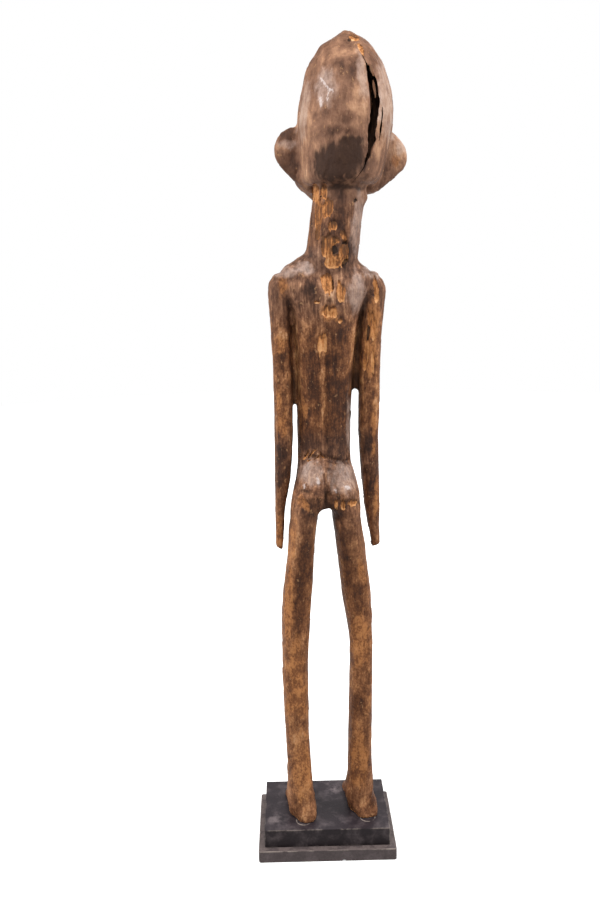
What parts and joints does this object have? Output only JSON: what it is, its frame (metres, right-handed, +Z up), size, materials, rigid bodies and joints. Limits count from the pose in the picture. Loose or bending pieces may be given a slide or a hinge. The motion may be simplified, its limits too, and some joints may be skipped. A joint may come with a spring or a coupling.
{
  "type": "lobi ancestor figure",
  "caption": "Standing carved wooden ancestor figure with a tall cracked head, flat ears, long neck and arms free of the hips, on a stepped painted plinth.",
  "frame": {"origin": "centre of the underside of the plinth's slab, which stands on the floor", "axes": "+Z up along the standing figure; the figure faces -Y, turned 6 degrees on its plinth; +X is the side of its left arm"},
  "size_m": [0.1533, 0.124, 0.7923],
  "materials": {
    "carved_wood": "hand-adzed hardwood with a worn dark brown patina, bare orange wood where it has chipped, and a dull sheen on the high places",
    "painted_block": "matt black paint, dusty and scuffed on top",
    "painted_slab": "matt black paint, rubbed through to grey along its upper margin and edges"
  },
  "bodies": {
    "root": {"figure": "carved_wood", "plinth_block": "painted_block", "plinth_slab": "painted_slab"}
  },
  "joints": []
}
